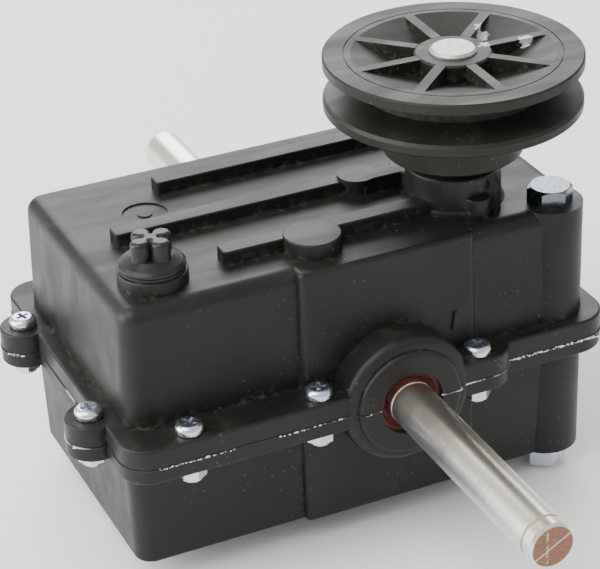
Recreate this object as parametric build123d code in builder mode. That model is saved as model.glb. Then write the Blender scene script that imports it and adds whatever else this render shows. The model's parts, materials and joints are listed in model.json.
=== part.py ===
from build123d import *
import math
import os

# Right-angle reduction gearbox. Millimetres. +Z is up, +Y runs along the output shaft towards the
# rear. The origin is on the flat base of the housing, under the middle of the output shaft.

# ---- Driving dimensions ---------------------------------------------------------------------

# Housing heights: base at zero, both shafts of the gear train lie on the joint plane.
SEAM_Z = 44.5
TOP_Z = 91.0
WALL = 4.0
DRAFT = 1.6
CORNER_R = 7.0
TOP_EDGE_R = 4.8
BASE_EDGE_R = 1.2

# Outside of the walls, measured at the joint plane.
LEFT_X = -89.0
RIGHT_X = 73.6
REAR_Y = 47.7
FRONT_Y = -46.5
BUMP_Y = -49.0
RECESS_Y = -47.9
BUMP_X0 = -32.0
BUMP_X1 = 31.0

# Flange around the joint plane.
FLANGE_TOP = 6.8
FLANGE_UNDER = 5.2
FLANGE_LEFT_X = -94.0
FLANGE_RIGHT_X = 79.2
FLANGE_SIDE_Y = 53.4
FLANGE_STRIP_Y = 59.7
FLANGE_STRIP_X1 = 40.0
SEALANT_T = 0.3
SEALANT_BAND = 1.2
SEALANT_PROUD = 0.3

# Flange screws: M5 pan head, with lock nuts.
SCREW_R = 2.5
SCREW_HOLE_R = 2.75
SCREW_HEAD_R = 4.5
SCREW_HEAD_H = 3.4
EAR_R = 8.6
SIDE_SCREW_X = -96.2
SIDE_SCREW_Y = 31.4
STRIP_SCREWS = [(-72.0, 53.9), (-28.6, 53.9), (27.5, 53.9)]
NUT_FLATS = 8.0
NUT_H = 5.0

# Corner bolts: M8 hexagon head, through a round tower in both halves.
TOWER_X = 62.0
TOWER_Y = 38.9
TOWER_R = 10.8
TOWER_FOOT_R = 11.2
SPOT_FACE_R = 12.5
SPOT_FACE_DEPTH = 0.5
BOLT_R = 4.0
BOLT_HOLE_R = 4.3
BOLT_FLATS = 13.0
BOLT_HEAD_H = 5.3
WASHER_R = 8.0
WASHER_T = 1.6
BOLT_NUT_H = 6.5
BOLT_END = 1.0

# Output shaft and the bosses it runs in.
SHAFT_R = 7.5
SHAFT_LENGTH = 295.6
SHAFT_CHAMFER = 1.0
RING_GROOVE_R = 6.9
END_GROOVE_FROM_TIP = 5.0
RELIEF_DEPTH = 0.3
RELIEF_W = 0.8
BOSS_R = 22.0
BOSS_RING_R = 18.0
BOSS_SHOULDER_Y = 60.3
BOSS_FACE_Y = 62.0
SEAL_POCKET_R = 10.8
SEAL_W = 4.2
SEAL_SET = 2.2
BUSH_R = 10.0
BUSH_Y0 = 38.5
BUSH_Y1 = 54.5
SADDLE_R = 14.5

# Input shaft, square to the output shaft and beside it.
INPUT_X = 36.3
INPUT_Y = -21.0
INPUT_END_Z = 142.6
HUB_R = 15.6
HUB_TOP_Z = 103.5
GUSSET_TURN = -68.0
INPUT_SEAL_R = 13.0
INPUT_SEAL_W = 7.0

# Ball bearings: bore radius, outer radius, width, ball circle radius, number of balls.
UPPER_BEARING = (7.5, 16.0, 9.0, 11.75, 9)
LOWER_BEARING = (6.0, 14.0, 8.0, 10.0, 8)
UPPER_BEARING_Z = 77.6
LOWER_BEARING_Z = 5.2
BALL_R = 2.35
RACE_R = 2.4

# Gear train.
WORM_MODULE = 2.0
WHEEL_TEETH = 26
WORM_PITCH_R = INPUT_X - WORM_MODULE * WHEEL_TEETH / 2
WORM_TURNS = 5
GEAR_MODULE = 1.5
FIRST_PINION_TEETH = 16
LAY_GEAR_TEETH = 44
LAY_PINION_TEETH = 18
OUTPUT_GEAR_TEETH = 42
LAY_X = -GEAR_MODULE * (FIRST_PINION_TEETH + LAY_GEAR_TEETH) / 2
LAY_R = 6.0
LAY_HALF = 41.0
LAY_BUSH_R = 9.0
LAY_BUSH_Y0 = 30.0
LAY_BOSS_R = 12.5
RUNNING_GAP = 0.05
FLANK_GAP = 0.12
FLANK_STEPS = 4
WORM_CORE_R = 7.8

# Gears and rings on the shafts, as distances along +Y.
WHEEL_W = 10.0
WHEEL_Y0 = INPUT_Y - WHEEL_W / 2
WHEEL_KEY_W = 4.0
SLEEVE_R = 10.0
PINION_Y1 = 4.0
LAY_GEAR_Y0 = -10.0
LAY_GEAR_W = 12.0
LAY_PINION_Y0 = 13.0
LAY_PINION_W = 16.0
LAY_KEY_W = 4.0
OUTPUT_GEAR_Y0 = 14.0
OUTPUT_GEAR_W = 14.0
OUTPUT_KEY_W = 5.0
OUTPUT_KEY_REACH = 2.0
RING_T = 1.2

# Pulley.
GROOVE_FLOOR_Z0 = 130.4
GROOVE_FLOOR_Z1 = 134.6
POCKET_FLOOR_Z = 135.3
PULLEY_R = 41.3
PULLEY_TOP_Z = 141.3
PULLEY_RIM_Z = 123.7
PULLEY_HUB_Z = 105.0
PULLEY_EDGE = 3.3
PULLEY_LOW_EDGE = 2.9
PULLEY_LOW_BEVEL = 1.1
DRUM_R = 22.5
DRUM_Z = 108.3
DRUM_WALL = 3.0
DRUM_ROOF_Z = 116.0
PULLEY_HUB_R = 12.4
POCKET_R = 32.3
PULLEY_LINE_R = 34.5
GROOVE_FLOOR_R = 30.0
PULLEY_RIBS = 8
PULLEY_RIB_W = 3.4
PULLEY_RIB_TURN = -2.0
KEY_W = 5.0
KEY_INNER_R = 4.6
KEY_OUTER_R = 9.6
KEY_LENGTH = 26.0
KEY_FROM_HUB = 6.0

# Ribs and bosses on the roof.
ROOF_RIB_H = 4.2
ROOF_RIB_W = 6.6
ROOF_BOSS_H = 5.2
PLUG_X = -71.0
PLUG_Y = -28.4
PLUG_BOSS_R = 11.0
PLUG_BOSS_H = 4.2
PLUG_HOLE_R = 7.1
PLUG_Z0 = TOP_Z + PLUG_BOSS_H
PLUG_CAP_R = 10.4
PLUG_CAP_H = 5.0
PLUG_KNOB_R = 6.5
PLUG_STEM = 11.0
PLUG_SEAL_T = 0.6
PLUG_LOBE_AT = 4.4
PLUG_LOBE_R = 3.0
PLUG_LOBE_H = 5.9
PLUG_TURN = 21.0
DATE_X = -57.0
DATE_Y = 14.4
DATE_R = 7.4

os.makedirs("parts", exist_ok=True)

SEAM = Plane.XY.offset(SEAM_Z)
SCREW_PLACES = [(SIDE_SCREW_X, side * SIDE_SCREW_Y) for side in (-1, 1)]
SCREW_PLACES += [(x, side * y) for x, y in STRIP_SCREWS for side in (-1, 1)]
TOWER_PLACES = [(TOWER_X, side * TOWER_Y) for side in (-1, 1)]


def save(part, node):
    """Label a finished piece and write its file."""
    part.label = node
    export_step(part, f"parts/{node}.step")


def along_y(x, y):
    """Plane across the output shaft's direction: its own x is +X, its normal is +Y."""
    return Plane(origin=(x, y, SEAM_Z), x_dir=(1, 0, 0), z_dir=(0, 1, 0))


# ---- Housing -------------------------------------------------------------------------------


def wall_block(x0, x1, y0, y1, height, corner, top_edge):
    """One drafted block standing on, or hanging from, the joint plane."""
    with BuildSketch(SEAM) as outline:
        with Locations(((x0 + x1) / 2, (y0 + y1) / 2)):
            RectangleRounded(x1 - x0, y1 - y0, corner)
    block = extrude(outline.sketch, amount=height, taper=DRAFT, mode=Mode.PRIVATE)
    far_face = block.faces().sort_by(Axis.Z)[-1 if height > 0 else 0]
    add(block.fillet(top_edge, far_face.edges()))


def flange_outline():
    """Outline of the flange, with its strips, ears and rounded corners."""
    with Locations(((FLANGE_RIGHT_X + FLANGE_LEFT_X) / 2, 0)):
        RectangleRounded(FLANGE_RIGHT_X - FLANGE_LEFT_X, 2 * FLANGE_SIDE_Y, 12)
    with Locations(((FLANGE_STRIP_X1 + FLANGE_LEFT_X) / 2, 0)):
        RectangleRounded(FLANGE_STRIP_X1 - FLANGE_LEFT_X, 2 * FLANGE_STRIP_Y, 9.5)
    with Locations(*[(SIDE_SCREW_X + 0.8, side * SIDE_SCREW_Y) for side in (-1, 1)]):
        Circle(EAR_R)


def sealant_bead(mode=Mode.ADD):
    """Bead round the outer edge of the joint, bulging a little past it, open at the shaft seals."""
    with BuildSketch(Plane.XY.offset(SEAM_Z - SEALANT_T / 2)) as outline:
        with BuildSketch(mode=Mode.PRIVATE) as edge:
            flange_outline()
            with Locations(*[(0, side * BOSS_FACE_Y / 2) for side in (-1, 1)]):
                RectangleRounded(2 * BOSS_RING_R, BOSS_FACE_Y, 1.0)
        offset(edge.sketch, amount=SEALANT_PROUD)
        offset(edge.sketch, amount=SEALANT_PROUD - SEALANT_BAND, mode=Mode.SUBTRACT)
        Rectangle(2 * SEAL_POCKET_R + 1, 4 * BOSS_FACE_Y, mode=Mode.SUBTRACT)
    extrude(outline.sketch, amount=SEALANT_T, mode=mode)


def flange_plate(thickness):
    """Flange plate on the joint plane, thickness upwards or downwards."""
    with BuildSketch(SEAM) as outline:
        flange_outline()
    plate = extrude(outline.sketch, amount=thickness, mode=Mode.PRIVATE)
    far_face = plate.faces().sort_by(Axis.Z)[-1 if thickness > 0 else 0]
    add(plate.fillet(0.8, far_face.edges()))


def half_space(above):
    """Large block on one side of the joint plane."""
    align = Align.MIN if above else Align.MAX
    block = Box(300, 300, 60, align=(Align.CENTER, Align.CENTER, align), mode=Mode.PRIVATE)
    return Pos(0, 0, SEAM_Z) * block


def half_boss(side, above):
    """Half of the round boss where the output shaft leaves: a stepped, rounded disc."""
    wall_y = 44.0
    with BuildSketch(along_y(0, side * wall_y)) as outline:
        Circle(BOSS_R)
    depth = BOSS_SHOULDER_Y - wall_y
    disc = extrude(outline.sketch, amount=side * depth, mode=Mode.PRIVATE)
    outer = disc.faces().sort_by(Axis.Y)[-1 if side > 0 else 0]
    disc = disc.fillet(3.2, outer.edges())
    with BuildSketch(along_y(0, side * wall_y)) as outline:
        Circle(BOSS_RING_R)
    ring = extrude(outline.sketch, amount=side * (BOSS_FACE_Y - wall_y), mode=Mode.PRIVATE)
    outer = ring.faces().sort_by(Axis.Y)[-1 if side > 0 else 0]
    ring = ring.fillet(1.6, outer.edges())
    add((disc + ring) & half_space(above))


def shaft_saddles(above):
    """Inside half rounds that hold the output bushes and the layshaft bushes."""
    for side in (-1, 1):
        for x, radius, y0 in ((0, SADDLE_R, BUSH_Y0 - 0.5), (LAY_X, LAY_BOSS_R, LAY_BUSH_Y0)):
            with BuildSketch(along_y(x, side * y0)) as outline:
                Circle(radius)
            saddle = extrude(outline.sketch, amount=side * (45.0 - y0), mode=Mode.PRIVATE)
            add(saddle & half_space(above))


def shaft_bores():
    """Bores of the output shaft, its seals and bushes, and blind pockets of the layshaft."""
    for side in (-1, 1):
        for radius, y0, y1 in (
            (SEAL_POCKET_R, BOSS_FACE_Y - SEAL_SET - SEAL_W, BOSS_FACE_Y + 1),
            (SHAFT_R + 0.6, BUSH_Y1 - 1, BOSS_FACE_Y - SEAL_SET),
            (BUSH_R, 30.0, BUSH_Y1),
        ):
            with BuildSketch(along_y(0, side * y0)) as outline:
                Circle(radius)
            extrude(outline.sketch, amount=side * (y1 - y0), mode=Mode.SUBTRACT)
        with BuildSketch(along_y(LAY_X, side * 25.0)) as outline:
            Circle(LAY_BUSH_R)
        extrude(outline.sketch, amount=side * (LAY_HALF + 0.6 - 25.0), mode=Mode.SUBTRACT)


def fastener_holes():
    """Through holes for the flange screws and the corner bolts."""
    with BuildSketch(Plane.XY.offset(-5)) as outline:
        with Locations(*SCREW_PLACES):
            Circle(SCREW_HOLE_R)
        with Locations(*TOWER_PLACES):
            Circle(BOLT_HOLE_R)
    extrude(outline.sketch, amount=120, mode=Mode.SUBTRACT)


def cavity(z0, z1):
    """Room for the gears between the walls, leaving the corner towers solid."""
    with BuildSketch(Plane.XY.offset(z0)) as outline:
        width = RIGHT_X - LEFT_X - 2 * WALL
        depth = REAR_Y - FRONT_Y - 2 * WALL
        with Locations(((RIGHT_X + LEFT_X) / 2, (REAR_Y + FRONT_Y) / 2)):
            RectangleRounded(width, depth, CORNER_R - 3)
        with Locations(*TOWER_PLACES):
            Circle(TOWER_R, mode=Mode.SUBTRACT)
    extrude(outline.sketch, amount=z1 - z0, mode=Mode.SUBTRACT)


def upright(x, y, z0, z1, radius, mode=Mode.ADD):
    """Upright round, from one height to another."""
    with BuildSketch(Plane.XY.offset(z0)) as outline:
        with Locations((x, y)):
            Circle(radius)
    extrude(outline.sketch, amount=z1 - z0, mode=mode)


def roof_bar(x0, x1, y, width, height, end_r=1.4):
    """Flat rib on the roof, running along X with rounded corners."""
    with BuildSketch(Plane.XY.offset(TOP_Z - 1)) as outline:
        with Locations(((x0 + x1) / 2, y)):
            RectangleRounded(x1 - x0, width, end_r)
    bar = extrude(outline.sketch, amount=height + 1, mode=Mode.PRIVATE)
    add(bar.fillet(0.5, bar.faces().sort_by(Axis.Z)[-1].edges()))


def roof_disc(x, y, radius, height):
    """Round boss on the roof with a softened edge."""
    with BuildSketch(Plane.XY.offset(TOP_Z - 1)) as outline:
        with Locations((x, y)):
            Circle(radius)
    disc = extrude(outline.sketch, amount=height + 1, mode=Mode.PRIVATE)
    add(disc.fillet(0.5, disc.faces().sort_by(Axis.Z)[-1].edges()))


def roof_features():
    """Three ribs, round bosses, the filler boss and the round recess for a date mark."""
    roof_bar(-48.5, 40.0, 27.6, ROOF_RIB_W, ROOF_RIB_H)
    roof_bar(-73.5, 14.0, -0.3, ROOF_RIB_W, ROOF_RIB_H)
    roof_bar(-48.2, 28.6, -27.0, ROOF_RIB_W, ROOF_RIB_H)
    roof_disc(-19.2, -32.3, 9.2, ROOF_BOSS_H)
    upright(11.2, -1.6, TOP_Z - 1, TOP_Z + ROOF_BOSS_H - 1, 5.5)
    upright(11.2, -1.6, TOP_Z + ROOF_BOSS_H - 1.9, TOP_Z + ROOF_BOSS_H, 6.5)
    roof_disc(30.6, -3.6, 7.6, ROOF_BOSS_H)
    roof_bar(11.2, 30.6, -4.4, 6.8, ROOF_BOSS_H, 0.8)
    roof_disc(37.2, -35.2, 4.8, 6.0)
    roof_disc(PLUG_X, PLUG_Y, PLUG_BOSS_R, PLUG_BOSS_H)
    upright(DATE_X, DATE_Y, TOP_Z - 0.5, TOP_Z + 1, DATE_R, Mode.SUBTRACT)
    upright(DATE_X, DATE_Y, TOP_Z - 0.6, TOP_Z - 0.1, 2.4)


def roof_hub():
    """Collar around the input shaft, with a small rounded foot and a gusset at the front."""
    with BuildPart(mode=Mode.PRIVATE) as hub:
        with BuildSketch(Plane.XZ.offset(-INPUT_Y)):
            with BuildLine():
                Polyline(
                    (INPUT_X, TOP_Z - 2),
                    (INPUT_X + HUB_R + 1.2, TOP_Z - 2),
                    (INPUT_X + HUB_R + 1.2, TOP_Z + 0.1),
                    (INPUT_X + HUB_R + 0.4, TOP_Z + 0.6),
                    (INPUT_X + HUB_R, TOP_Z + 1.6),
                    (INPUT_X + HUB_R, HUB_TOP_Z),
                    (INPUT_X, HUB_TOP_Z),
                    close=True,
                )
            make_face()
        revolve(axis=Axis((INPUT_X, INPUT_Y, 0), (0, 0, 1)))
    add(hub.part.fillet(1.0, hub.part.faces().sort_by(Axis.Z)[-1].edges()))
    with BuildPart(mode=Mode.PRIVATE) as gusset:
        with BuildSketch(Plane.XZ):
            Polygon(
                (HUB_R - 2, TOP_Z - 1),
                (HUB_R + 3.1, TOP_Z - 1),
                (HUB_R + 2.7, HUB_TOP_Z - 5.4),
                (HUB_R - 0.6, HUB_TOP_Z - 0.6),
                (HUB_R - 2, HUB_TOP_Z - 0.6),
                align=None,
            )
        extrude(amount=1.5, both=True)
    add(Pos(INPUT_X, INPUT_Y, 0) * Rot(0, 0, GUSSET_TURN) * gusset.part)


def wall_mark():
    """Small raised wedge on the front wall."""
    with BuildSketch(Plane.XZ.offset(-BUMP_Y - 2.0)) as outline:
        Polygon((21.0, 58.5), (24.2, 58.5), (23.2, 64.8), (22.0, 64.8), align=None)
    extrude(outline.sketch, amount=2.4)


def input_bores():
    """Seal pocket above, bearing pocket and retaining ring groove below the roof."""
    upright(INPUT_X, INPUT_Y, 60.0, HUB_TOP_Z + 1, SHAFT_R + 0.8, Mode.SUBTRACT)
    upright(INPUT_X, INPUT_Y, HUB_TOP_Z - INPUT_SEAL_W, HUB_TOP_Z + 1, INPUT_SEAL_R, Mode.SUBTRACT)
    bore, outer, width, circle, balls = UPPER_BEARING
    upright(INPUT_X, INPUT_Y, 60.0, UPPER_BEARING_Z + width, outer, Mode.SUBTRACT)
    upright(INPUT_X, INPUT_Y, UPPER_BEARING_Z - 1.5, UPPER_BEARING_Z - 0.2, outer + 1.0, Mode.SUBTRACT)


with BuildPart() as upper_housing:
    wall_block(LEFT_X, RIGHT_X, FRONT_Y, REAR_Y, TOP_Z - SEAM_Z, CORNER_R, TOP_EDGE_R)
    wall_block(BUMP_X0, BUMP_X1, BUMP_Y, -20, TOP_Z - SEAM_Z, 3.0, 1.6)
    wall_block(20, RIGHT_X - 6, RECESS_Y, -20, TOP_Z - SEAM_Z, CORNER_R, TOP_EDGE_R)
    for tower_x, tower_y in TOWER_PLACES:
        upright(tower_x, tower_y, SEAM_Z, TOP_Z, TOWER_R)
    flange_plate(FLANGE_TOP)
    half_boss(-1, True)
    half_boss(1, True)
    cavity(SEAM_Z, TOP_Z - WALL)
    shaft_saddles(True)
    upright(INPUT_X, INPUT_Y, UPPER_BEARING_Z - 2.5, TOP_Z - 1, UPPER_BEARING[1] + 3.5)
    roof_features()
    roof_hub()
    wall_mark()
    input_bores()
    upright(PLUG_X, PLUG_Y, 60, TOP_Z + 10, PLUG_HOLE_R, Mode.SUBTRACT)
    shaft_bores()
    fastener_holes()
    sealant_bead(Mode.SUBTRACT)
save(upper_housing.part, "upper_housing")

with BuildPart() as lower_housing:
    wall_block(LEFT_X, RIGHT_X, FRONT_Y, REAR_Y, -SEAM_Z, CORNER_R, BASE_EDGE_R)
    wall_block(BUMP_X0, BUMP_X1, BUMP_Y, -20, -SEAM_Z, 3.0, BASE_EDGE_R)
    wall_block(20, RIGHT_X - 6, RECESS_Y, -20, -SEAM_Z, CORNER_R, BASE_EDGE_R)
    for tower_x, tower_y in TOWER_PLACES:
        upright(tower_x, tower_y, 0, SEAM_Z, TOWER_FOOT_R)
    flange_plate(-FLANGE_UNDER)
    half_boss(-1, False)
    half_boss(1, False)
    cavity(WALL, SEAM_Z)
    shaft_saddles(False)
    upright(INPUT_X, INPUT_Y, 1, LOWER_BEARING_Z + LOWER_BEARING[2] + 0.8, LOWER_BEARING[1] + 3.5)
    upright(INPUT_X, INPUT_Y, LOWER_BEARING_Z, SEAM_Z, LOWER_BEARING[1], Mode.SUBTRACT)
    shaft_bores()
    fastener_holes()
    sealant_bead(Mode.SUBTRACT)
    for tower_x, tower_y in TOWER_PLACES:
        upright(tower_x, tower_y, -1, SPOT_FACE_DEPTH, SPOT_FACE_R, Mode.SUBTRACT)
save(lower_housing.part, "lower_housing")


# ---- Fasteners -----------------------------------------------------------------------------


def cross_recess(z, size, depth):
    """Tapered cross sunk into a screw head."""
    with BuildSketch(Plane.XY.offset(z)) as outline:
        Rectangle(size, size * 0.26)
        Rectangle(size * 0.26, size)
    return extrude(outline.sketch, amount=-depth, taper=8, mode=Mode.PRIVATE)


def pan_screw():
    """M5 pan head screw at the origin, with its head above z = 0."""
    with BuildPart(mode=Mode.PRIVATE) as screw:
        Cylinder(SCREW_HEAD_R, SCREW_HEAD_H, align=(Align.CENTER, Align.CENTER, Align.MIN))
        fillet(screw.edges().sort_by(Axis.Z)[-1], 1.9)
        fillet(screw.edges().sort_by(Axis.Z)[0], 0.5)
        length = FLANGE_TOP + FLANGE_UNDER + NUT_H + 0.8
        Cylinder(SCREW_R, length, align=(Align.CENTER, Align.CENTER, Align.MAX))
        chamfer(screw.edges().sort_by(Axis.Z)[0], 0.5)
    return screw.part - cross_recess(SCREW_HEAD_H, 4.8, 2.0)


def hex_nut(flats, height, bore, corner, collar=0.0):
    """Hexagon nut hanging below z = 0, with rounded-off corners and an optional lock collar."""
    with BuildPart(mode=Mode.PRIVATE) as nut:
        with BuildSketch(Plane.XY):
            RegularPolygon(flats / 2, 6, major_radius=False)
        extrude(amount=-height)
        with BuildSketch(Plane.XY) as outline:
            Circle(flats / math.sqrt(3) - corner)
        extrude(outline.sketch, amount=-height, taper=-12, mode=Mode.INTERSECT)
        if collar:
            Cylinder(flats / 2 - 0.5, height + collar, align=(Align.CENTER, Align.CENTER, Align.MAX))
            fillet(nut.edges().sort_by(Axis.Z)[0], 0.8)
        Cylinder(bore, 3 * height, mode=Mode.SUBTRACT)
    return nut.part


def hex_bolt():
    """M8 hexagon bolt at the origin, with its head above z = 0."""
    with BuildPart(mode=Mode.PRIVATE) as bolt:
        with BuildSketch(Plane.XY):
            RegularPolygon(BOLT_FLATS / 2, 6, major_radius=False)
        extrude(amount=BOLT_HEAD_H)
        with BuildSketch(Plane.XY.offset(BOLT_HEAD_H)) as outline:
            Circle(BOLT_FLATS / 2 - 0.2)
        extrude(outline.sketch, amount=-BOLT_HEAD_H, taper=-58, mode=Mode.INTERSECT)
        length = TOP_Z - SPOT_FACE_DEPTH + WASHER_T + BOLT_NUT_H + BOLT_END
        Cylinder(BOLT_R, length, align=(Align.CENTER, Align.CENTER, Align.MAX))
        chamfer(bolt.edges().sort_by(Axis.Z)[0], 0.8)
    return bolt.part


def save_group(node, piece, places, z, turn=0.0):
    """Save copies of one piece, each a separate solid, as one node."""
    copies = [Pos(x, y, z) * Rot(0, 0, turn + 17 * index) * piece for index, (x, y) in enumerate(places)]
    save(Compound(children=copies), node)


save_group("flange_screws", pan_screw(), SCREW_PLACES, SEAM_Z + FLANGE_TOP)
lock_nut = hex_nut(NUT_FLATS, 3.6, SCREW_R + 0.02, 0.25, NUT_H - 3.6)
save_group("flange_nuts", lock_nut, SCREW_PLACES, SEAM_Z - FLANGE_UNDER)
save_group("corner_bolts", hex_bolt(), TOWER_PLACES, TOP_Z, 40)
with BuildPart() as washer:
    Cylinder(WASHER_R, WASHER_T, align=(Align.CENTER, Align.CENTER, Align.MAX))
    Cylinder(BOLT_R + 0.2, 3 * WASHER_T, mode=Mode.SUBTRACT)
    fillet(washer.edges().filter_by(GeomType.CIRCLE).sort_by(SortBy.RADIUS)[-2:], 0.25)
save_group("corner_washers", washer.part, TOWER_PLACES, SPOT_FACE_DEPTH)
bolt_nut = hex_nut(BOLT_FLATS, BOLT_NUT_H, BOLT_R + 0.02, 0.5)
save_group("corner_nuts", bolt_nut, TOWER_PLACES, SPOT_FACE_DEPTH - WASHER_T, 24)

# ---- Sealant, filler plug, seals and bushes --------------------------------------------------

with BuildPart() as joint_sealant:
    sealant_bead()
save(joint_sealant.part, "joint_sealant")


def turned(points, mode=Mode.ADD):
    """Solid of revolution about Z from (radius, height) points."""
    with BuildSketch(Plane.XZ) as outline:
        with BuildLine() as edge:
            Polyline(*points, close=True)
        make_face(edge.edges())
    return revolve(outline.sketch, axis=Axis.Z, mode=mode)


def tube(inner, outer, length, edge=0.3):
    """Plain ring standing on z = 0, with softened ends."""
    with BuildPart(mode=Mode.PRIVATE) as ring:
        Cylinder(outer, length, align=(Align.CENTER, Align.CENTER, Align.MIN))
        Cylinder(inner, 3 * length, mode=Mode.SUBTRACT)
        chamfer(ring.edges().filter_by(GeomType.CIRCLE), edge)
    return ring.part


def on_shaft(piece, x, y, turn=0.0):
    """Stand a piece's own z axis along +Y, at a place on the joint plane."""
    return Pos(x, y, SEAM_Z) * Rot(-90, 0, 0) * Rot(0, 0, turn) * piece


def lip_seal(inner, outer, width):
    """Shaft seal standing on z = 0: outer case, recessed face and a lip that clears the shaft."""
    with BuildPart(mode=Mode.PRIVATE) as seal:
        turned(
            [
                (inner + RUNNING_GAP, width - 1.6),
                (inner + 1.2, width - 0.5),
                (outer - 1.4, width - 0.9),
                (outer - 0.9, width - 0.2),
                (outer, width - 0.2),
                (outer, 0.2),
                (outer - 1.3, 0.2),
                (outer - 1.3, width - 2.2),
                (inner + 1.0, width - 2.8),
            ]
        )
    return seal.part


def retaining_ring(inner, outer, thickness, gap_deg=38):
    """External retaining ring standing on z = 0, open over an angle, with two eyes."""
    with BuildPart(mode=Mode.PRIVATE) as ring:
        with BuildSketch():
            Circle(outer)
            with PolarLocations(outer, 2, start_angle=-gap_deg, angular_range=2 * gap_deg, endpoint=True):
                Circle(1.5)
            Circle(inner, mode=Mode.SUBTRACT)
            with BuildLine():
                wide = math.radians(gap_deg * 0.55)
                reach = 2 * outer
                Polyline(
                    (0, 0),
                    (reach * math.cos(wide), -reach * math.sin(wide)),
                    (reach * math.cos(wide), reach * math.sin(wide)),
                    close=True,
                )
            make_face(mode=Mode.SUBTRACT)
        extrude(amount=thickness)
    return ring.part


with BuildPart() as filler_plug:
    turned(
        [
            (0, PLUG_Z0 - PLUG_STEM),
            (PLUG_HOLE_R - RUNNING_GAP, PLUG_Z0 - PLUG_STEM),
            (PLUG_HOLE_R - RUNNING_GAP, PLUG_Z0 + PLUG_SEAL_T),
            (PLUG_CAP_R, PLUG_Z0 + PLUG_SEAL_T),
            (PLUG_CAP_R, PLUG_Z0 + 1.1),
            (PLUG_CAP_R - 0.4, PLUG_Z0 + 1.3),
            (PLUG_CAP_R, PLUG_Z0 + 1.5),
            (PLUG_CAP_R, PLUG_Z0 + 2.2),
            (PLUG_CAP_R - 0.9, PLUG_Z0 + 3.1),
            (PLUG_KNOB_R, PLUG_Z0 + PLUG_CAP_H - 0.2),
            (0, PLUG_Z0 + PLUG_CAP_H),
        ]
    )
    with BuildSketch(Plane.XY.offset(PLUG_Z0 + PLUG_CAP_H - 2)):
        with PolarLocations(PLUG_LOBE_AT, 4, start_angle=PLUG_TURN):
            Circle(PLUG_LOBE_R)
        Circle(PLUG_LOBE_AT * 0.6)
    extrude(amount=2 + PLUG_LOBE_H)
    fillet(filler_plug.edges().group_by(Axis.Z)[-1], 1.5)
save(Pos(PLUG_X, PLUG_Y, 0) * filler_plug.part, "filler_plug")
plug_gasket = tube(PLUG_HOLE_R + 0.3, PLUG_CAP_R - 0.3, PLUG_SEAL_T, 0.1)
save(Pos(PLUG_X, PLUG_Y, PLUG_Z0) * plug_gasket, "filler_plug_seal")

for side, where in ((-1, "front"), (1, "rear")):
    seal = on_shaft(lip_seal(SHAFT_R, SEAL_POCKET_R, SEAL_W), 0, BOSS_FACE_Y - SEAL_SET - SEAL_W)
    bush = on_shaft(tube(SHAFT_R + RUNNING_GAP, BUSH_R, BUSH_Y1 - BUSH_Y0), 0, BUSH_Y0)
    lay_bush = on_shaft(tube(LAY_R + RUNNING_GAP, LAY_BUSH_R, LAY_HALF - LAY_BUSH_Y0), LAY_X, LAY_BUSH_Y0)
    for piece, name in ((seal, "output_seal"), (bush, "output_bush"), (lay_bush, "layshaft_bush")):
        save(piece if side > 0 else piece.mirror(Plane.XZ), f"{where}_{name}")
input_seal = lip_seal(SHAFT_R, INPUT_SEAL_R, INPUT_SEAL_W)
save(Pos(INPUT_X, INPUT_Y, HUB_TOP_Z - INPUT_SEAL_W) * input_seal, "input_seal")

# ---- Ball bearings of the input shaft --------------------------------------------------------


def save_bearing(name, spec, z):
    """Outer ring, inner ring, and the balls in their cage, on the input shaft's axis."""
    bore, outer, width, circle, count = spec
    place = Pos(INPUT_X, INPUT_Y, z)
    with BuildPart(mode=Mode.PRIVATE) as races:
        with BuildSketch(Plane.XZ) as section:
            with Locations((circle, width / 2)):
                Circle(RACE_R)
        revolve(section.sketch, axis=Axis.Z)
    save(place * (tube(circle + 1.1, outer, width) - races.part), f"{name}_bearing_outer_ring")
    save(place * (tube(bore, circle - 1.1, width) - races.part), f"{name}_bearing_inner_ring")
    with BuildPart(mode=Mode.PRIVATE) as cage:
        with Locations((0, 0, width / 2)):
            Cylinder(circle + 0.6, 5.0)
            Cylinder(circle - 0.6, 6.0, mode=Mode.SUBTRACT)
            with PolarLocations(circle, count):
                Sphere(BALL_R)
    save(place * cage.part, f"{name}_bearing_balls")


save_bearing("upper", UPPER_BEARING, UPPER_BEARING_Z)
save_bearing("lower", LOWER_BEARING, LOWER_BEARING_Z)

pocket_r = UPPER_BEARING[1]
with BuildPart() as bearing_clip:
    Cylinder(pocket_r + 0.9, 1.1, align=(Align.CENTER, Align.CENTER, Align.MIN))
    Cylinder(pocket_r - 2.0, 4, mode=Mode.SUBTRACT)
    with Locations((pocket_r, 0, 0)):
        Box(6, 8, 4, mode=Mode.SUBTRACT)
save(Pos(INPUT_X, INPUT_Y, UPPER_BEARING_Z - 1.4) * bearing_clip.part, "bearing_retaining_ring")

# ---- Gear teeth ------------------------------------------------------------------------------

PRESSURE = math.radians(20)


def involute(angle):
    """Involute function of a pressure angle."""
    return math.tan(angle) - angle


def tooth_flank(module, teeth, tip_r):
    """Points (radius, half the angle of one tooth) from the base circle out to a radius."""
    pitch_r = module * teeth / 2
    base_r = pitch_r * math.cos(PRESSURE)
    start_r = max(base_r, pitch_r - 1.25 * module)
    flank = []
    for step in range(FLANK_STEPS + 1):
        radius = start_r + (tip_r - start_r) * step / FLANK_STEPS
        at = math.acos(min(1.0, base_r / radius))
        half = math.pi / (2 * teeth) - FLANK_GAP / pitch_r + involute(PRESSURE) - involute(at)
        flank.append((radius, half))
    return flank


def mirrored(flank):
    """Closed outline, symmetric about +x, from (radius, half angle) points."""
    side = [(radius * math.cos(half), radius * math.sin(half)) for radius, half in flank]
    return side + [(x, -y) for x, y in reversed(side)]


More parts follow.
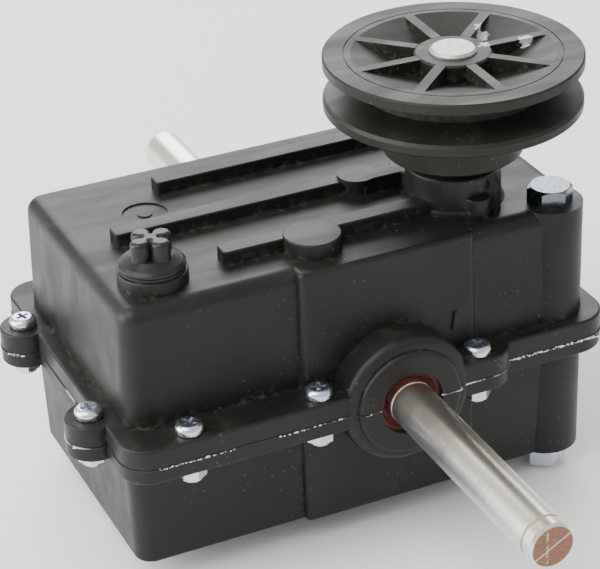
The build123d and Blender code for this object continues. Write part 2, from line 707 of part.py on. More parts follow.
def spur_gear(teeth, width, bore, turn=0.0, key_width=0.0, key_reach=0.0):
    """Spur gear standing on z = 0, with a tooth on its +x side and a keyway on its -y side."""
    pitch_r = GEAR_MODULE * teeth / 2
    root_r = pitch_r - 1.25 * GEAR_MODULE
    flank = tooth_flank(GEAR_MODULE, teeth, pitch_r + GEAR_MODULE)
    flank = [(root_r - 0.4, flank[0][1])] + flank
    with BuildPart(mode=Mode.PRIVATE) as gear:
        with BuildSketch():
            Circle(root_r)
            with PolarLocations(0, teeth, start_angle=turn):
                Polygon(*mirrored(flank), align=None)
            Circle(bore, mode=Mode.SUBTRACT)
            with Locations((0, -bore)):
                if key_width:
                    Rectangle(key_width, 2 * (key_reach - bore), mode=Mode.SUBTRACT)
        extrude(amount=width)
    return gear.part


def web_recess(inner, outer, width, depth):
    """Ring-shaped recesses in both faces of a gear standing on z = 0."""
    ring = tube(inner, outer, depth + 1, 0.4)
    return Pos(0, 0, width - depth) * ring + Pos(0, 0, -1) * ring


def shaft_key(width, inner, outer, length):
    """Key standing on z = 0, on the -y side between two radii."""
    key = Box(width, outer - inner, length)
    return Pos(0, -(inner + outer) / 2, length / 2) * fillet(key.edges().filter_by(Axis.Y), 0.9)


# ---- Worm on the input shaft -----------------------------------------------------------------

WORM_PITCH = math.pi * WORM_MODULE
LEAD = math.atan(WORM_PITCH / (2 * math.pi * WORM_PITCH_R))
worm_z0 = SEAM_Z - WORM_TURNS / 2 * WORM_PITCH
half_width = WORM_PITCH / 4 - FLANK_GAP
slope = math.tan(PRESSURE)

with BuildPart() as thread:
    with BuildLine() as helix:
        Helix(WORM_PITCH, WORM_TURNS * WORM_PITCH, WORM_PITCH_R)
    start = Plane(origin=helix.line @ 0, x_dir=(1, 0, 0), z_dir=helix.line % 0)
    with BuildSketch(start):
        root = WORM_PITCH_R - WORM_CORE_R + 0.4
        Polygon(
            (-root, -half_width - root * slope),
            (WORM_MODULE, -half_width + WORM_MODULE * slope),
            (WORM_MODULE, half_width - WORM_MODULE * slope),
            (-root, half_width + root * slope),
            align=None,
        )
    sweep(is_frenet=True)

with BuildPart() as input_shaft:
    turned(
        [
            (0, LOWER_BEARING_Z + 0.2),
            (5.6, LOWER_BEARING_Z + 0.2),
            (LOWER_BEARING[0], LOWER_BEARING_Z + 0.6),
            (LOWER_BEARING[0], LOWER_BEARING_Z + LOWER_BEARING[2]),
            (8.4, LOWER_BEARING_Z + LOWER_BEARING[2]),
            (8.4, worm_z0 - 11),
            (WORM_CORE_R, worm_z0 - 10),
            (WORM_CORE_R, UPPER_BEARING_Z - 5),
            (9.5, UPPER_BEARING_Z - 4),
            (9.5, UPPER_BEARING_Z),
            (SHAFT_R, UPPER_BEARING_Z),
            (SHAFT_R, INPUT_END_Z - 0.8),
            (SHAFT_R - 0.8, INPUT_END_Z),
            (0, INPUT_END_Z),
        ]
    )
    add(Pos(0, 0, worm_z0) * thread.part)
    with Locations((SHAFT_R, 0, PULLEY_HUB_Z + KEY_FROM_HUB)):
        Box(
            2 * (SHAFT_R - KEY_INNER_R), KEY_W, KEY_LENGTH,
            align=(Align.CENTER, Align.CENTER, Align.MIN), mode=Mode.SUBTRACT,
        )
save(Pos(INPUT_X, INPUT_Y, 0) * input_shaft.part, "input_shaft")

with BuildPart() as pulley_key:
    with Locations(((KEY_INNER_R + KEY_OUTER_R) / 2, 0, PULLEY_HUB_Z + KEY_FROM_HUB)):
        Box(KEY_OUTER_R - KEY_INNER_R, KEY_W, KEY_LENGTH, align=(Align.CENTER, Align.CENTER, Align.MIN))
save(Pos(INPUT_X, INPUT_Y, 0) * pulley_key.part, "pulley_key")

with BuildPart() as input_pulley:
    turned(
        [
            (SHAFT_R, PULLEY_HUB_Z),
            (PULLEY_HUB_R - 1, PULLEY_HUB_Z),
            (PULLEY_HUB_R, PULLEY_HUB_Z + 1),
            (PULLEY_HUB_R, DRUM_ROOF_Z),
            (DRUM_R - DRUM_WALL, DRUM_ROOF_Z),
            (DRUM_R - DRUM_WALL, DRUM_Z),
            (DRUM_R - 0.4, DRUM_Z),
            (DRUM_R, DRUM_Z + 0.4),
            (DRUM_R, PULLEY_RIM_Z),
            (25.0, PULLEY_RIM_Z),
            (26.0, PULLEY_RIM_Z + 1.8),
            (35.0, PULLEY_RIM_Z + 1.8),
            (36.0, PULLEY_RIM_Z),
            (PULLEY_R - 0.5, PULLEY_RIM_Z),
            (PULLEY_R, PULLEY_RIM_Z + 0.5),
            (PULLEY_R, PULLEY_RIM_Z + PULLEY_LOW_EDGE),
            (PULLEY_R - 0.8, PULLEY_RIM_Z + PULLEY_LOW_EDGE + PULLEY_LOW_BEVEL),
            (GROOVE_FLOOR_R, GROOVE_FLOOR_Z0),
            (GROOVE_FLOOR_R, GROOVE_FLOOR_Z1),
            (PULLEY_R, PULLEY_TOP_Z - PULLEY_EDGE),
            (PULLEY_R, PULLEY_TOP_Z - 0.5),
            (PULLEY_R - 0.5, PULLEY_TOP_Z),
            (POCKET_R, PULLEY_TOP_Z),
            (PULLEY_HUB_R, POCKET_FLOOR_Z),
            (PULLEY_HUB_R, PULLEY_TOP_Z - 0.6),
            (PULLEY_HUB_R - 0.6, PULLEY_TOP_Z),
            (SHAFT_R, PULLEY_TOP_Z),
        ]
    )
    with BuildSketch(Plane.XY.offset(PULLEY_HUB_Z)) as outline:
        with PolarLocations((PULLEY_HUB_R + POCKET_R) / 2, PULLEY_RIBS, start_angle=PULLEY_RIB_TURN):
            Rectangle(POCKET_R - PULLEY_HUB_R + 0.8, PULLEY_RIB_W)
    ribs = extrude(outline.sketch, amount=PULLEY_TOP_Z - PULLEY_HUB_Z, mode=Mode.PRIVATE)
    pocket = [
        (0, PULLEY_TOP_Z),
        (0, POCKET_FLOOR_Z - 1),
        (PULLEY_HUB_R + 0.5, POCKET_FLOOR_Z - 1),
        (POCKET_R + 0.3, PULLEY_TOP_Z - 1),
        (POCKET_R + 0.3, PULLEY_TOP_Z),
    ]
    add(ribs & turned(pocket, Mode.PRIVATE))
    line = ((-0.2, 1), (-0.2, -0.3), (0.2, -0.3), (0.2, 1))
    turned([(PULLEY_LINE_R + r, PULLEY_TOP_Z + z) for r, z in line], Mode.SUBTRACT)
    slot_top = PULLEY_HUB_Z + KEY_FROM_HUB + KEY_LENGTH
    with Locations((KEY_OUTER_R / 2, 0, slot_top)):
        Box(KEY_OUTER_R, KEY_W, 60, align=(Align.CENTER, Align.CENTER, Align.MAX), mode=Mode.SUBTRACT)
save(Pos(INPUT_X, INPUT_Y, 0) * input_pulley.part, "input_pulley")

# ---- Worm wheel with the first pinion, turning freely on the output shaft ---------------------

wheel_r = WORM_MODULE * WHEEL_TEETH / 2
wheel_root_r = wheel_r - 1.25 * WORM_MODULE
with BuildPart() as worm_wheel:
    Cylinder(wheel_r + WORM_MODULE, WHEEL_W)
    chamfer(worm_wheel.edges().filter_by(GeomType.CIRCLE), 0.8)
    Cylinder(SLEEVE_R, 2 * WHEEL_W, mode=Mode.SUBTRACT)
    gap = [(wheel_root_r, tooth_flank(WORM_MODULE, WHEEL_TEETH, wheel_r)[0][1])]
    gap += tooth_flank(WORM_MODULE, WHEEL_TEETH, wheel_r + WORM_MODULE + 1)
    gap = [(radius, math.pi / WHEEL_TEETH - half) for radius, half in gap]
    for tooth in range(WHEEL_TEETH):
        tilted = Plane(origin=(0, 0, 0), x_dir=(1, 0, 0), z_dir=(0, math.sin(LEAD), math.cos(LEAD)))
        with BuildSketch(tilted) as outline:
            Polygon(*mirrored(gap), align=None)
        cutter = extrude(outline.sketch, amount=WHEEL_W, both=True, mode=Mode.PRIVATE)
        add(Rot(0, 0, tooth * 360 / WHEEL_TEETH) * cutter, mode=Mode.SUBTRACT)
    web = web_recess(SLEEVE_R + 4.5, wheel_root_r - 3, WHEEL_W, 2.2)
    add(Pos(0, 0, -WHEEL_W / 2) * web, mode=Mode.SUBTRACT)
    with Locations((0, -SLEEVE_R, 0)):
        Box(WHEEL_KEY_W, 2.8, 2 * WHEEL_W, mode=Mode.SUBTRACT)
save(on_shaft(worm_wheel.part, 0, INPUT_Y), "worm_wheel")

pinion_y0 = INPUT_Y + WHEEL_W / 2 + 2
pinion_w = PINION_Y1 - pinion_y0
pinion = Pos(0, 0, pinion_y0 - WHEEL_Y0) * spur_gear(FIRST_PINION_TEETH, pinion_w, SHAFT_R + RUNNING_GAP)
sleeve = tube(SHAFT_R + RUNNING_GAP, SLEEVE_R, pinion_y0 - WHEEL_Y0 + 1)
sleeve -= Pos(0, -SLEEVE_R, 0) * Box(WHEEL_KEY_W, 2.8, 2 * WHEEL_W)
save(on_shaft(sleeve + pinion, 0, WHEEL_Y0), "first_pinion")
wheel_key = shaft_key(WHEEL_KEY_W, SLEEVE_R - 1.4, SLEEVE_R + 1.4, WHEEL_W - 0.6)
save(on_shaft(wheel_key, 0, WHEEL_Y0 + 0.2), "wheel_key")

# ---- Layshaft --------------------------------------------------------------------------------

with BuildPart() as layshaft:
    Cylinder(LAY_R, 2 * LAY_HALF)
    chamfer(layshaft.edges().filter_by(GeomType.CIRCLE), 0.6)
    for y0, length in ((LAY_GEAR_Y0, LAY_GEAR_W), (LAY_PINION_Y0, LAY_PINION_W)):
        with Locations((0, -LAY_R, y0 + length / 2)):
            Box(LAY_KEY_W, 3.0, length - 2, mode=Mode.SUBTRACT)
    add(Pos(0, 0, LAY_GEAR_Y0 - RING_T) * tube(LAY_R - 0.5, LAY_R + 1, RING_T, 0.01), mode=Mode.SUBTRACT)
save(on_shaft(layshaft.part, LAY_X, 0), "layshaft")

lay_gear = spur_gear(LAY_GEAR_TEETH, LAY_GEAR_W, LAY_R, 180 / LAY_GEAR_TEETH, LAY_KEY_W, LAY_R + 1.5)
lay_gear -= web_recess(13.0, 26.0, LAY_GEAR_W, 2.5)
for turn in range(0, 360, 60):
    lay_gear -= Rot(0, 0, turn + 30) * Pos(19.5, 0, 0) * Cylinder(4.2, 4 * LAY_GEAR_W)
save(on_shaft(lay_gear, LAY_X, LAY_GEAR_Y0), "lay_gear")
lay_pinion = spur_gear(LAY_PINION_TEETH, LAY_PINION_W, LAY_R, 0, LAY_KEY_W, LAY_R + 1.5)
save(on_shaft(lay_pinion, LAY_X, LAY_PINION_Y0), "lay_pinion")
for name, y0, width in (("gear", LAY_GEAR_Y0, LAY_GEAR_W), ("pinion", LAY_PINION_Y0, LAY_PINION_W)):
    key = shaft_key(LAY_KEY_W, LAY_R - 1.5, LAY_R + 1.5, width - 2)
    save(on_shaft(key, LAY_X, y0 + 1), f"lay_{name}_key")
spacer = tube(LAY_R, LAY_R + 3, LAY_PINION_Y0 - LAY_GEAR_Y0 - LAY_GEAR_W)
save(on_shaft(spacer, LAY_X, LAY_GEAR_Y0 + LAY_GEAR_W), "layshaft_spacer")
lay_ring = retaining_ring(LAY_R - 0.47, LAY_R + 2, RING_T)
save(on_shaft(lay_ring, LAY_X, LAY_GEAR_Y0 - RING_T, 90), "layshaft_ring")

# ---- Output shaft ----------------------------------------------------------------------------

ring_places = (
    -BUSH_Y0 + 0.6,
    WHEEL_Y0 - RING_T - 0.1,
    OUTPUT_GEAR_Y0 + OUTPUT_GEAR_W,
    BUSH_Y0 - 0.6 - RING_T,
)
with BuildPart() as output_shaft:
    Cylinder(SHAFT_R, SHAFT_LENGTH)
    chamfer(output_shaft.edges().filter_by(GeomType.CIRCLE), SHAFT_CHAMFER)
    groove = tube(RING_GROOVE_R, SHAFT_R + 1, RING_T, 0.01)
    for z in (-SHAFT_LENGTH / 2 + END_GROOVE_FROM_TIP - RING_T / 2, *ring_places):
        add(Pos(0, 0, z) * groove, mode=Mode.SUBTRACT)
    relief = tube(SHAFT_R - RELIEF_DEPTH, SHAFT_R + 1, RELIEF_W, 0.01)
    for z in (-BOSS_FACE_Y - 0.4, BOSS_FACE_Y + 0.4 - RELIEF_W):
        add(Pos(0, 0, z) * relief, mode=Mode.SUBTRACT)
    with Locations((0, -SHAFT_R, OUTPUT_GEAR_Y0 + OUTPUT_GEAR_W / 2)):
        Box(OUTPUT_KEY_W, 2 * OUTPUT_KEY_REACH, OUTPUT_GEAR_W - 2, mode=Mode.SUBTRACT)
save(on_shaft(output_shaft.part, 0, 0), "output_shaft")

output_gear = spur_gear(
    OUTPUT_GEAR_TEETH,
    OUTPUT_GEAR_W,
    SHAFT_R,
    180 / OUTPUT_GEAR_TEETH,
    OUTPUT_KEY_W,
    SHAFT_R + OUTPUT_KEY_REACH,
)
output_gear -= web_recess(14.0, 25.0, OUTPUT_GEAR_W, 3.0)
save(on_shaft(output_gear, 0, OUTPUT_GEAR_Y0), "output_gear")
key_span = (SHAFT_R - OUTPUT_KEY_REACH, SHAFT_R + OUTPUT_KEY_REACH)
output_key = shaft_key(OUTPUT_KEY_W, *key_span, OUTPUT_GEAR_W - 2)
save(on_shaft(output_key, 0, OUTPUT_GEAR_Y0 + 1), "output_key")
spacer = tube(SHAFT_R, SHAFT_R + 3, OUTPUT_GEAR_Y0 - PINION_Y1 - 0.1)
save(on_shaft(spacer, 0, PINION_Y1 + 0.1), "output_spacer")
shaft_ring = retaining_ring(RING_GROOVE_R + 0.03, SHAFT_R + 2.4, RING_T)
rings = [on_shaft(shaft_ring, 0, y, 90) for y in ring_places]
save(Compound(children=rings), "output_retaining_rings")
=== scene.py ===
import bpy
import bmesh
import json
import math
import random
from mathutils import Matrix, Vector, noise


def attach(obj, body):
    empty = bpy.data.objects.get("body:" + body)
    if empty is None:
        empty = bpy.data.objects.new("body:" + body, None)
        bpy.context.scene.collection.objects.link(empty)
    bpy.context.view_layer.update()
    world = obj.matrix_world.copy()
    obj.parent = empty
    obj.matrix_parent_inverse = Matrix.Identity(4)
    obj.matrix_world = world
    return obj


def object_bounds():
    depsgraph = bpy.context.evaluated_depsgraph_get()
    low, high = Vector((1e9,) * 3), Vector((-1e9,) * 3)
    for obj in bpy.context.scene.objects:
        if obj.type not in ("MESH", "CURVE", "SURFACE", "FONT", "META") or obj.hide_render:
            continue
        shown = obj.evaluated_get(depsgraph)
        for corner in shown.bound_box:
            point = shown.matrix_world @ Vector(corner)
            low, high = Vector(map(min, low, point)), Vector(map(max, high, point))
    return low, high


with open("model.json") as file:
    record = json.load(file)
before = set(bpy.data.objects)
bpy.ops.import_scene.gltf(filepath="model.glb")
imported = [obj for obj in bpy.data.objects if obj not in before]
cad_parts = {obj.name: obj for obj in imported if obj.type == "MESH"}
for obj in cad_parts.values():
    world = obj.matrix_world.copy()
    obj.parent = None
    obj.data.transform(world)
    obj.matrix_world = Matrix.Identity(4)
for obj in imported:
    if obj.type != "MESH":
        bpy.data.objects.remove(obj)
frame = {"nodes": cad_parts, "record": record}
cad_low, cad_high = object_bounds()
NODES = frame["nodes"]
MM = 0.001
SEAM = 44.5


# ---- Material helpers -------------------------------------------------------------------------

class Paint:
    """Node material being built: every helper returns an output socket."""

    def __init__(self, name):
        self.name = name
        self.mat = bpy.data.materials.new("look_" + name)
        self.mat.use_nodes = True
        self.tree = self.mat.node_tree
        self.shader = self.tree.nodes["Principled BSDF"]
        self.coords = self.new("TexCoord").outputs["Object"]

    def new(self, kind, **settings):
        node = self.tree.nodes.new("ShaderNode" + kind)
        for key, value in settings.items():
            setattr(node, key, value)
        return node

    def put(self, socket, value):
        if isinstance(value, bpy.types.NodeSocket):
            self.tree.links.new(value, socket)
        elif isinstance(value, (tuple, list)) and len(value) == 3 and socket.type == "RGBA":
            socket.default_value = (*value, 1.0)
        else:
            socket.default_value = value

    def set(self, **values):
        for key, value in values.items():
            self.put(self.shader.inputs[key.replace("_", " ")], value)

    def noise(self, scale, detail=3.0, rough=0.55, at=None, distort=0.0):
        node = self.new("TexNoise")
        self.put(node.inputs["Vector"], at or self.coords)
        self.put(node.inputs["Scale"], scale)
        self.put(node.inputs["Detail"], detail)
        self.put(node.inputs["Roughness"], rough)
        self.put(node.inputs["Distortion"], distort)
        return node.outputs["Fac"]

    def cells(self, scale, at=None, feature="F1", random_at=1.0):
        node = self.new("TexVoronoi", feature=feature)
        self.put(node.inputs["Vector"], at or self.coords)
        self.put(node.inputs["Scale"], scale)
        self.put(node.inputs["Randomness"], random_at)
        return node.outputs["Distance"]

    def math(self, operation, a, b=0.0, clamp=False):
        node = self.new("Math", operation=operation, use_clamp=clamp)
        self.put(node.inputs[0], a)
        self.put(node.inputs[1], b)
        return node.outputs[0]

    def span(self, value, low, high, to_low=0.0, to_high=1.0, smooth=True):
        node = self.new("MapRange", interpolation_type="SMOOTHSTEP" if smooth else "LINEAR")
        for key, item in (("Value", value), ("From Min", low), ("From Max", high),
                          ("To Min", to_low), ("To Max", to_high)):
            self.put(node.inputs[key], item)
        return node.outputs["Result"]

    def blend(self, share, a, b, kind="MIX"):
        node = self.new("Mix", data_type="RGBA", blend_type=kind)
        self.put(node.inputs[0], share)
        self.put(node.inputs[6], a)
        self.put(node.inputs[7], b)
        return node.outputs[2]

    def stretch(self, scale, at=None, move=(0, 0, 0)):
        node = self.new("Mapping")
        self.put(node.inputs["Vector"], at or self.coords)
        node.inputs["Scale"].default_value = scale
        node.inputs["Location"].default_value = move
        return node.outputs["Vector"]

    def axes(self, at=None):
        node = self.new("SeparateXYZ")
        self.put(node.inputs[0], at or self.coords)
        return node.outputs

    def near(self, place, squash=(1, 1, 1)):
        """Distance in metres from a place given in millimetres."""
        node = self.new("VectorMath", operation="SUBTRACT")
        self.put(node.inputs[0], self.coords)
        node.inputs[1].default_value = [v * MM for v in place]
        scaled = self.new("VectorMath", operation="MULTIPLY")
        self.put(scaled.inputs[0], node.outputs[0])
        scaled.inputs[1].default_value = squash
        length = self.new("VectorMath", operation="LENGTH")
        self.put(length.inputs[0], scaled.outputs[0])
        return length.outputs["Value"]

    def bump(self, height, depth_mm, strength=1.0, under=None):
        node = self.new("Bump")
        self.put(node.inputs["Height"], height)
        self.put(node.inputs["Strength"], strength)
        self.put(node.inputs["Distance"], depth_mm * MM)
        if under is not None:
            self.put(node.inputs["Normal"], under)
        return node.outputs["Normal"]

    def crevice(self, reach_mm, samples=8):
        node = self.new("AmbientOcclusion", samples=samples)
        self.put(node.inputs["Distance"], reach_mm * MM)
        return self.math("SUBTRACT", 1.0, node.outputs["AO"])

    def facing(self):
        node = self.new("NewGeometry")
        return self.axes(node.outputs["Normal"])


def black_plastic(name, colour, rough=(0.36, 0.5), dust_and_sheen_level=1.0, grain=0.02, tint=(0.16, 0.15, 0.12), smears=()):
    """Satin moulded plastic with cloudy handling smudges, faint grain, specks, dusty corners and a painted sheen that
    lightens upward faces toward olive grey.
    """
    p = Paint(name)
    clouds = p.noise(22, 5, 0.6, distort=0.4)
    fine = p.noise(1500, 2, 0.5)
    streaks = p.noise(60, 4, 0.6, p.stretch((0.35, 1.6, 1.0)))
    base = p.blend(p.span(clouds, 0.3, 0.7), [c * 0.8 for c in colour], [c * 1.25 for c in colour])
    specks = p.math("MULTIPLY", p.span(p.cells(420), 0.17, 0.08), p.span(p.noise(70, 2), 0.5, 0.66))
    corner = p.math("MULTIPLY", p.crevice(3.5), p.span(p.noise(380, 3, 0.7), 0.48, 0.68))
    # Painted sheen: upward-facing surfaces are lightened toward the olive-grey tint, standing in for the reflection on
    # the top faces.
    up = p.span(p.facing()[2], 0.3, 0.9)
    painted_top_sheen = p.math("MULTIPLY", up, p.span(p.noise(120, 5, 0.65), 0.45, 0.85, 0.0, 0.10))
    # Specks and dusty corners, plus the painted top sheen, all blended toward the same tint.
    dust_and_sheen = p.math("ADD", p.math("MULTIPLY", specks, 0.55), p.math("MULTIPLY", corner, 0.55))
    dust_and_sheen = p.math("MULTIPLY", p.math("ADD", dust_and_sheen, painted_top_sheen), dust_and_sheen_level, clamp=True)
    p.set(Base_Color=p.blend(dust_and_sheen, base, tint))
    shine = p.span(streaks, 0.3, 0.75, rough[0], rough[1])
    p.set(Roughness=p.math("ADD", shine, p.math("MULTIPLY", dust_and_sheen, 0.25), clamp=True))
    for place, squash, reach in smears:
        ragged = p.math("ADD", p.near(place, squash), p.span(p.noise(330, 4, 0.7), 0.2, 0.8, -0.0015, 0.0015))
        base_paint = p.span(ragged, reach * MM, reach * MM * 0.7)
        p.set(Base_Color=p.blend(base_paint, p.shader.inputs["Base Color"].links[0].from_socket, (0.55, 0.56, 0.56)))
    soft = p.bump(clouds, 0.25, 0.25)
    p.set(Normal=p.bump(fine, grain, 0.5, soft))
    p.set(Specular_IOR_Level=0.24)
    return p


def metal(name, colour, rough, lines=None, line_depth=0.01, stain=(0.3, 0.27, 0.22), stain_share=0.25):
    """Metal with machining lines along one direction, faint stains and uneven polish."""
    p = Paint(name)
    at = p.stretch(lines) if lines else p.coords
    fine = p.noise(900, 3, 0.6, at)
    cloud = p.noise(45, 5, 0.65, distort=0.6)
    spots = p.math("MULTIPLY", p.span(p.noise(260, 4, 0.7), 0.6, 0.78), p.span(cloud, 0.45, 0.7))
    base = p.blend(p.span(cloud, 0.25, 0.75), [c * 0.86 for c in colour], colour)
    p.set(Base_Color=p.blend(p.math("MULTIPLY", spots, stain_share), base, stain))
    p.set(Metallic=1.0)
    blur = p.span(fine, 0.3, 0.7, rough[0], rough[1])
    p.set(Roughness=p.math("ADD", blur, p.math("MULTIPLY", spots, 0.2), clamp=True))
    p.set(Normal=p.bump(fine, line_depth, 0.4))
    return p


# ---- Materials --------------------------------------------------------------------------------

# Old light paint on two pulley ribs: place in millimetres, squash, reach in millimetres.
PULLEY_SMEARS = (
    ((53.2, -8.4, 141.3), (1.0, 1.0, 0.3), 2.4),
    ((61.2, -23.2, 141.3), (1.0, 1.0, 0.3), 2.1),
    ((47.5, -21.1, 141.3), (1.0, 1.0, 0.3), 1.8),
)

housing_black = black_plastic("housing_black", (0.0105, 0.0105, 0.0092))
pulley_black = black_plastic("pulley_black", (0.012, 0.012, 0.009), rough=(0.40, 0.55), dust_and_sheen_level=1.1, smears=PULLEY_SMEARS)
plug_black = black_plastic("plug_black", (0.012, 0.012, 0.013), rough=(0.25, 0.4), dust_and_sheen_level=0.7)
gasket_black = black_plastic("gasket_black", (0.012, 0.012, 0.012), rough=(0.5, 0.65), dust_and_sheen_level=0.4)
shaft_steel = metal("shaft_steel", (0.50, 0.49, 0.46), (0.40, 0.55), line_depth=0.01, stain_share=0.6)
zinc_steel = metal("zinc_steel", (0.66, 0.70, 0.78), (0.2, 0.34), line_depth=0.02)
bolt_zinc = metal("bolt_zinc", (0.17, 0.20, 0.22), (0.2, 0.36), line_depth=0.03, stain=(0.2, 0.17, 0.13))
bearing_steel = metal("bearing_steel", (0.7, 0.7, 0.71), (0.08, 0.16), line_depth=0.004)
spring_steel = metal("spring_steel", (0.14, 0.14, 0.15), (0.35, 0.5))
gear_steel = metal("gear_steel", (0.42, 0.42, 0.43), (0.25, 0.4), lines=(1, 6, 1))
wheel_bronze = metal("wheel_bronze", (0.62, 0.40, 0.18), (0.22, 0.38), lines=(1, 6, 1))
bush_bronze = metal("bush_bronze", (0.5, 0.33, 0.18), (0.35, 0.55))


def worn_shaft():
    """Ground output shaft with a painted reflection, yellowish on the upper half and bluish on the lower half, and a
    brown sawn front end with a scribed line.
    """
    p = Paint("output_shaft")
    x, y, z = p.axes()
    up = p.math("SUBTRACT", z, SEAM * MM)
    fine = p.noise(260, 2, 0.5, p.stretch((0.3, 6.0, 0.3)))
    cloud = p.noise(30, 3, 0.55)
    # Painted reflection: the shaft is tinted yellowish above the seam height and bluish below it.
    painted_reflection_cast = p.blend(p.span(up, -0.004, 0.006), (0.66, 0.69, 0.78), (0.80, 0.78, 0.66))
    spots = p.math("MULTIPLY", p.span(p.noise(260, 4, 0.7), 0.6, 0.78), p.span(cloud, 0.45, 0.7))
    body = p.blend(p.math("MULTIPLY", spots, 0.12), painted_reflection_cast, (0.3, 0.27, 0.22))
    end = p.span(y, -0.14760, -0.14775)
    saw = p.noise(500, 4, 0.6, p.stretch((1.0, 1.0, 7.0)))
    brown = p.blend(p.span(saw, 0.3, 0.7), (0.16, 0.065, 0.04), (0.33, 0.15, 0.095))
    across = p.math("SUBTRACT", p.math("MULTIPLY", x, 0.49), p.math("MULTIPLY", up, 0.87))
    line = p.span(p.math("ABSOLUTE", across), 0.00028, 0.00016)
    green = p.span(p.math("ABSOLUTE", p.math("ADD", x, 0.0019)), 0.0006, 0.0002)
    green = p.math("MULTIPLY", green, p.span(p.noise(420, 3, 0.7), 0.42, 0.56))
    green = p.math("MULTIPLY", green, p.span(p.math("ABSOLUTE", up), 0.0058, 0.0048))
    face = p.blend(line, p.blend(green, brown, (0.25, 0.48, 0.22)), (0.6, 0.55, 0.5))
    p.set(Base_Color=p.blend(end, body, face))
    p.set(Metallic=p.span(end, 0, 1, 1.0, 0.35))
    p.set(Roughness=p.math("ADD", p.span(fine, 0.3, 0.7, 0.28, 0.34), p.math("MULTIPLY", end, 0.2)))
    return p


output_steel = worn_shaft()


def rubber(name, colour, pale):
    p = Paint(name)
    cloud = p.noise(160, 4, 0.6)
    p.set(Base_Color=p.blend(p.span(cloud, 0.3, 0.75), colour, pale))
    p.set(Roughness=p.span(cloud, 0.3, 0.7, 0.42, 0.62))
    p.set(Normal=p.bump(p.noise(1400, 2), 0.03, 0.5))
    return p


seal_red = rubber("seal_red", (0.085, 0.014, 0.009), (0.16, 0.03, 0.02))


def sealant_paint():
    """Thin bead: mostly darkened with dirt, pale where it has squeezed out thick."""
    p = Paint("sealant_grey")
    patches = p.span(p.noise(42, 4, 0.6), 0.52, 0.6)
    grit = p.noise(900, 3, 0.6)
    pale = p.blend(grit, (0.42, 0.43, 0.45), (0.66, 0.67, 0.69))
    p.set(Base_Color=p.blend(patches, (0.012, 0.012, 0.012), pale))
    p.set(Roughness=p.span(grit, 0.3, 0.7, 0.5, 0.75))
    p.set(Normal=p.bump(grit, 0.08, 0.6))
    return p


sealant_grey = sealant_paint()

PAINTS = {p.name: p.mat for p in (housing_black, pulley_black, plug_black, gasket_black, shaft_steel, zinc_steel,
                                      bolt_zinc, bearing_steel, spring_steel, gear_steel, wheel_bronze,
                                      bush_bronze, seal_red, sealant_grey)}
slot_of = {s["node"]: s["material_slot"] for s in frame["record"]["subparts"]}
for name, node in NODES.items():
    node.data.materials.clear()
    node.data.materials.append(output_steel.mat if name == "output_shaft" else PAINTS[slot_of[name]])

# ---- Squeezed-out sealant, as small pale smears on the joint --------------------------------------

# Runs of smears along the joint, in millimetres: start, end, how many, largest radius.
SMEARS = (
    ((-16.3, -62.3), (-10.8, -61.9), 10, 0.35),
    ((-27.4, -60.0), (-21.0, -59.9), 7, 0.3),
    ((10.9, -61.9), (16.5, -60.2), 26, 0.5),
    ((18.0, -60.0), (27.0, -59.9), 12, 0.3),
    ((41.0, -53.6), (76.0, -53.6), 46, 0.5),
    ((79.4, -44.0), (79.4, -20.0), 16, 0.4),
    ((-93.0, -53.0), (-84.0, -59.9), 16, 0.45),
    ((-84.0, -60.0), (-60.0, -60.0), 22, 0.4),
    ((-45.0, -60.0), (-29.0, -60.0), 12, 0.35),
    ((-103.6, -36.0), (-98.0, -39.6), 10, 0.5),
    ((-103.4, 27.0), (-99.0, 23.2), 9, 0.5),
)


def sealant_smears():
    random.seed(7)
    build = bmesh.new()
    for (x0, y0), (x1, y1), count, radius in SMEARS:
        for index in range(count):
            t = (index + random.random()) / count
            size = radius * random.uniform(0.35, 1.0)
            place = Vector((x0 + (x1 - x0) * t, y0 + (y1 - y0) * t, SEAM + random.uniform(-0.5, 0.3) * radius))
            shape = Matrix.Diagonal((size * random.uniform(0.8, 2.2), size * 0.7, size * random.uniform(0.5, 1.1), 1))
            turned = Matrix.Rotation(math.atan2(y1 - y0, x1 - x0), 4, "Z")
            new = bmesh.ops.create_icosphere(build, subdivisions=2, radius=1.0)["verts"]
            for vert in new:
                vert.co *= 1 + 0.35 * noise.noise(vert.co * 1.7 + place)
            bmesh.ops.transform(build, verts=new, matrix=Matrix.Translation(place * MM) @ turned @ shape @ Matrix.Scale(MM, 4))
    mesh = bpy.data.meshes.new("sealant_smears")
    build.to_mesh(mesh)
    build.free()
    mesh.shade_smooth()
    smears = bpy.data.objects.new("sealant_smears", mesh)
    bpy.context.scene.collection.objects.link(smears)
    white = Paint("sealant_white")
    grit = white.noise(700, 3, 0.6)
    white.set(Base_Color=white.blend(grit, (0.5, 0.51, 0.53), (0.8, 0.8, 0.8)), Roughness=0.6)
    mesh.materials.append(white.mat)
    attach(smears, "housing")


sealant_smears()

# ---- Camera, floor and light -------------------------------------------------------------------


def look(obj, target):
    obj.rotation_mode = "QUATERNION"
    obj.rotation_quaternion = (Vector(target) - obj.location).to_track_quat("-Z", "Y")


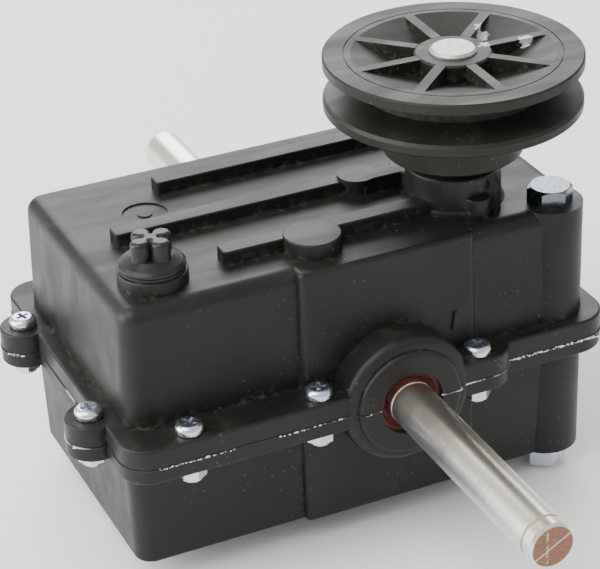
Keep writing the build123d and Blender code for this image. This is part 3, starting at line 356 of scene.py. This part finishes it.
def soft_light(name, place, target, width, height, power, colour=(1, 1, 1)):
    data = bpy.data.lights.new(name, "AREA")
    data.shape = "RECTANGLE"
    data.size = width
    data.size_y = height
    data.energy = power
    data.color = colour
    lamp = bpy.data.objects.new(name, data)
    bpy.context.scene.collection.objects.link(lamp)
    lamp.location = place
    look(lamp, target)
    return lamp


camera_data = bpy.data.cameras.new("camera")
camera_data.sensor_width = 36.0
camera_data.lens = 132.35
camera_data.clip_start = 0.01
camera_data.clip_end = 50
camera = bpy.data.objects.new("camera", camera_data)
bpy.context.scene.collection.objects.link(camera)
bpy.context.scene.camera = camera
right = Vector((0.90603158, -0.42208788, -0.03079938))
down = Vector((-0.22987661, -0.42972371, -0.87320918))
ahead = Vector((0.35533579, 0.79823515, -0.48637138))
turn = Matrix((right, -down, -ahead)).transposed()
camera.matrix_world = Matrix.Translation((-0.269266, -0.583341, 0.414662)) @ turn.to_4x4()

floor_mesh = bpy.data.meshes.new("floor")
build = bmesh.new()
bmesh.ops.create_grid(build, x_segments=1, y_segments=1, size=4.0)
build.to_mesh(floor_mesh)
build.free()
floor = bpy.data.objects.new("floor", floor_mesh)
bpy.context.scene.collection.objects.link(floor)
floor.location = (0, 0, cad_low.z - 0.0002)
pale = Paint("floor_pale")
pale.set(Base_Color=(0.95, 0.95, 0.95), Roughness=0.85)
floor_mesh.materials.append(pale.mat)

world = bpy.data.worlds.new("studio")
world.use_nodes = True
world.node_tree.nodes["Background"].inputs["Color"].default_value = (0.99, 0.99, 0.97, 1.0)
world.node_tree.nodes["Background"].inputs["Strength"].default_value = 0.95
bpy.context.scene.world = world
soft_light("key", (-0.9, -0.2, 1.5), (0, 0, 0.05), 1.2, 1.2, 24, (1.0, 0.99, 0.96))
soft_light("back", (0.5, 1.6, 1.0), (0, 0, 0.05), 1.6, 1.0, 30, (0.97, 0.98, 1.0))
soft_light("left", (-1.5, 0.35, 0.55), (-0.05, 0, 0.06), 1.2, 1.0, 36, (0.98, 0.98, 1.0))
